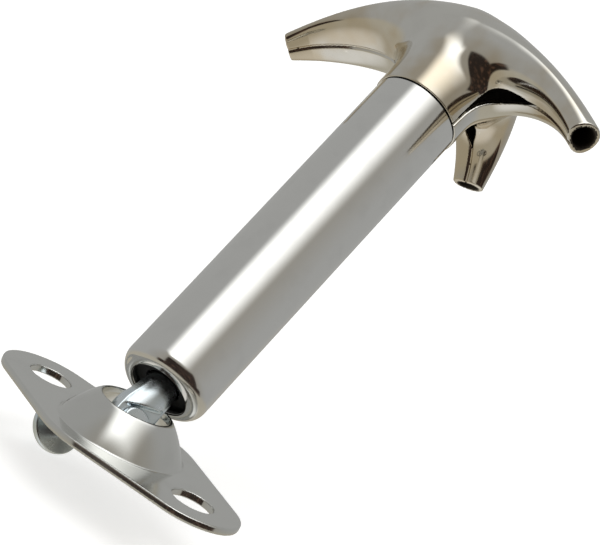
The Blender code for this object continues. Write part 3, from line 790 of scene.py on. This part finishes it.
def build_barrel(chrome, hollow_steel_painted_shade, zinc):
    """A tube whose lower end is rolled in; only its outside took the plating, and its inside is unplated
    steel painted very dark as shade of the hollow.
    """
    inner = BARREL_RADIUS - BARREL_WALL
    rounding = 0.15 * MM
    centre = (BARREL_RADIUS - LIP_CORNER, LIP_CORNER)
    profile = [(BARREL_RADIUS - rounding, BARREL_LENGTH), (BARREL_RADIUS, BARREL_LENGTH - rounding)]
    profile += arc(centre, LIP_CORNER, 0, -90, 24)
    profile += arc((LIP_RADIUS + 2 * rounding, 2 * rounding), 2 * rounding, -90, -180, 4)
    profile.append((LIP_RADIUS, BARREL_WALL))
    profile += arc(centre, LIP_CORNER - BARREL_WALL, -90, 0, 12)
    profile.append((inner, BARREL_LENGTH))
    shape = lathe(profile, 192, ring=True)
    # faces inside the tube take the steel painted dark as shade of the hollow
    for face in shape.faces:
        middle = face.calc_center_median()
        inward = middle.x * face.normal.x + middle.y * face.normal.y < 0
        behind_lip = math.hypot(middle.x, middle.y) > LIP_RADIUS * 1.01
        face.material_index = int(inward and behind_lip or face.normal.z > 0.5 and middle.z < LIP_CORNER)
    barrel = add_mesh("barrel_skin", shape, BARREL_PLACE, chrome)
    barrel.data.materials.append(hollow_steel_painted_shade)
    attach(barrel, "handle")
    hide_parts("barrel")
    outer = inner - GAP
    sleeve = ring_profile(outer - BARREL_WALL, outer, SLEEVE_BELOW_SEAM + SLEEVE_ABOVE_SEAM, 0.2 * MM)
    build_ring("sleeve_skin", "neck_sleeve", "handle", sleeve, BARREL_LENGTH - SLEEVE_BELOW_SEAM,
               BARREL_PLACE, zinc)


# ---------------------------------------------------------------- head

class Prong:
    """One prong of the head, in barrel radii. Its top edge, underside and half-width each run from
    the hub to the tip as a quadratic curve: the value at the hub, a control value, the value at the
    tip."""

    def __init__(self, length, top, underside, half_width, cut_angle, slot):
        self.length = length
        self.top = top
        self.underside = underside
        self.half_width = half_width
        self.cut_angle = cut_angle        # lean of the open end's plane
        self.slot = slot                  # start, widest place and end of the gap below, and its half-width


# Barrel radii again, where nothing is said in MM
RIGHT = Prong(3.93, (2.98, 2.56, 1.11), (0.49, 2.05, 0.19), (1.22, 0.80, 0.38), 0.72, (0.8, 1.4, 2.6, 0.24))
LEFT = Prong(4.12, (2.98, 2.90, 1.04), (0.49, 2.25, 0.75), (1.22, 1.09, 0.35), 0.57, (1.0, 1.25, 1.7, 0.16))
HOOK = Prong(2.90, (2.84, 3.55, 1.30), (0.29, 2.50, 0.73), (1.18, 0.88, 0.38), 1.30, (1.0, 1.5, 2.3, 0.2))
HANDLE_CHANGE = 0.6                      # half-length over which one handle prong turns into the other
SECTION_POWER = 2.2
PRONG_BLEND = 0.49
HOOK_START = (-0.3, 0.5)                 # where the hook prong begins behind the axis, and its rounding
NECK_BLEND = 0.40
NECK_SPAN = (-0.35, 1.14)
NECK_RADIUS = 1.03
NECK_ROUNDING = 0.2
HEAD_WALL = 1.0 * MM
SHEET_ROUNDING = 0.25 * MM
TIP_ROUNDING = 0.3 * MM
SEAM_GROOVE = (0.75 * MM, 0.50 * MM)     # half-width and depth
SEAM_GROOVE_START = 1.1


def along_prong(values, t):
    hub, middle, tip = values
    return hub * (1 - t) ** 2 + 2 * middle * t * (1 - t) + tip * t * t


def prong_field(prong, distance, side, height):
    """A prong's outside, from the distance along it, to its side and above the seam."""
    t = np.clip(distance / prong.length, 0.0, 1.12)
    top = along_prong(prong.top, t)
    underside = along_prong(prong.underside, t)
    half_width = along_prong(prong.half_width, t)
    half_height = np.maximum((top - underside) / 2, 0.2)
    across = np.abs(side / half_width) ** SECTION_POWER
    upward = np.abs((height - (top + underside) / 2) / half_height) ** SECTION_POWER
    thickness = (half_height ** -4 + half_width ** -4) ** -0.25
    skin = ((across + upward) ** (1 / SECTION_POWER) - 1) * thickness
    return np.maximum(skin, distance - 1.1 * prong.length)


def head_skin(points):
    """The head's outside: two handle prongs, the hook prong and a round neck, blended."""
    x, y, z = (points / BARREL_RADIUS).T
    share = smooth(0.5 + 0.5 * x / HANDLE_CHANGE)
    handle = prong_field(RIGHT, x, y, z) * share + prong_field(LEFT, -x, y, z) * (1 - share)
    start, rounding = HOOK_START
    hook = soft_max(prong_field(HOOK, y, x, z), start - y, rounding)
    neck = np.maximum(NECK_SPAN[0] - z, z - NECK_SPAN[1])
    neck = soft_max(np.hypot(x, y) - NECK_RADIUS, neck, NECK_ROUNDING)
    prongs = soft_min(handle, hook, PRONG_BLEND)
    return soft_min(prongs, neck, NECK_BLEND) * BARREL_RADIUS


def seam_slot(prong, distance, side, height):
    """Positive inside the gap that the folded sheet leaves along the underside, near the hub."""
    start, widest, end, half_width = prong.slot
    width = half_width * smooth((distance - start) / (widest - start))
    width = width * smooth((end - distance) / (end - widest))
    t = np.clip(distance / prong.length, 0, 1)
    middle = (along_prong(prong.top, t) + along_prong(prong.underside, t)) / 2
    return np.minimum(width - 0.02 - np.abs(side), middle - height)


def seam_groove(prong, distance, side, height):
    """Depth of the shallow groove where the two halves of the sheet meet under the prong."""
    t = np.clip(distance / prong.length, 0, 1)
    middle = (along_prong(prong.top, t) + along_prong(prong.underside, t)) / 2
    across = smooth(1 - np.abs(side) * BARREL_RADIUS / SEAM_GROOVE[0])
    return SEAM_GROOVE[1] * across * smooth((distance - SEAM_GROOVE_START) / 0.2) * (height < middle)


def head_field(points):
    """The head as a hollow pressing with open tips and seams."""
    skin = head_skin(points)
    x, y, z = (points / BARREL_RADIUS).T
    shell = soft_max(skin, -(skin + HEAD_WALL), SHEET_ROUNDING)
    for prong, distance, side in ((RIGHT, x, y), (LEFT, -x, y), (HOOK, y, x)):
        shell = np.maximum(shell, skin + seam_groove(prong, distance, side, z))
    shell = soft_max(shell, -z * BARREL_RADIUS, SHEET_ROUNDING)
    for prong, distance, side in ((RIGHT, x, y), (LEFT, -x, y), (HOOK, y, x)):
        tip_height = (prong.top[2] + prong.underside[2]) / 2
        cut = (distance - prong.length) * math.cos(prong.cut_angle)
        cut = cut - (z - tip_height) * math.sin(prong.cut_angle)
        cut = np.where(distance > 0.5 * prong.length, cut, -1.0)
        shell = soft_max(shell, cut * BARREL_RADIUS, TIP_ROUNDING)
        shell = soft_max(shell, seam_slot(prong, distance, side, z) * BARREL_RADIUS, SHEET_ROUNDING)
    return shell


def build_head(chrome, hollow_steel_painted_shade):
    low = tuple(BARREL_RADIUS * reach for reach in (-4.6, -1.9, -0.1))
    high = tuple(BARREL_RADIUS * reach for reach in (4.6, 3.6, 3.4))
    # inner faces take the steel painted dark as shade of the hollow pressing
    head = skin_of_field("head_skin", head_field, low, high, PRESSED_CELL, SEAM_PLACE, [chrome, hollow_steel_painted_shade],
                         lambda middles: head_skin(middles) < -0.6 * HEAD_WALL)
    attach(head, "handle")
    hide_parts("hook_head")


# ---------------------------------------------------------------- all pieces

def build_pieces():
    plate_chrome = make_chrome("plate_chrome", Matrix.Identity(4), PLATE_CHROME, roughness=0.12,
                               waviness=10 * MICRON, wave_size=6 * MM)
    barrel_chrome = make_chrome("barrel_chrome", BARREL_PLACE, BARREL_CHROME, roughness=0.11,
                                waviness=12 * MICRON, wave_size=12 * MM, along=(1, 1, 0.03))
    # the head's chrome carries painted reflection as warm brown patches
    head_chrome = make_chrome("head_chrome", SEAM_PLACE, HEAD_CHROME, roughness=0.08,
                              waviness=60 * MICRON, wave_size=9 * MM, painted_reflection_share=0.85)
    # unplated steel for the hollows, its darkness painted shade
    hollow_steel_painted_shade = make_bare_steel("hollow_steel_painted_shade", HOLLOW_STEEL_PAINTED_SHADE, 0.55)
    black_steel = make_bare_steel("black_steel", BLACK_STEEL, 0.45)
    zinc = make_zinc()
    washer = ring_profile(WASHER_HOLE, WASHER_RADIUS, WASHER_THICKNESS, 0.15 * MM)

    build_base_plate(plate_chrome)
    build_pin(zinc)
    build_rod(zinc)
    build_ring("lower_washer_skin", "lower_spring_washer", "spring_seat", washer, LOWER_WASHER_LEVEL,
               ROD_PLACE, black_steel)
    build_spring(make_spring_steel())
    build_ring("upper_washer_skin", "upper_spring_washer", "rod", washer, UPPER_WASHER_LEVEL,
               ROD_PLACE, zinc)
    build_nut(zinc, make_nylon())
    build_barrel(barrel_chrome, hollow_steel_painted_shade, zinc)
    build_head(head_chrome, hollow_steel_painted_shade)


make_camera()
make_world()
make_stage()
build_pieces()
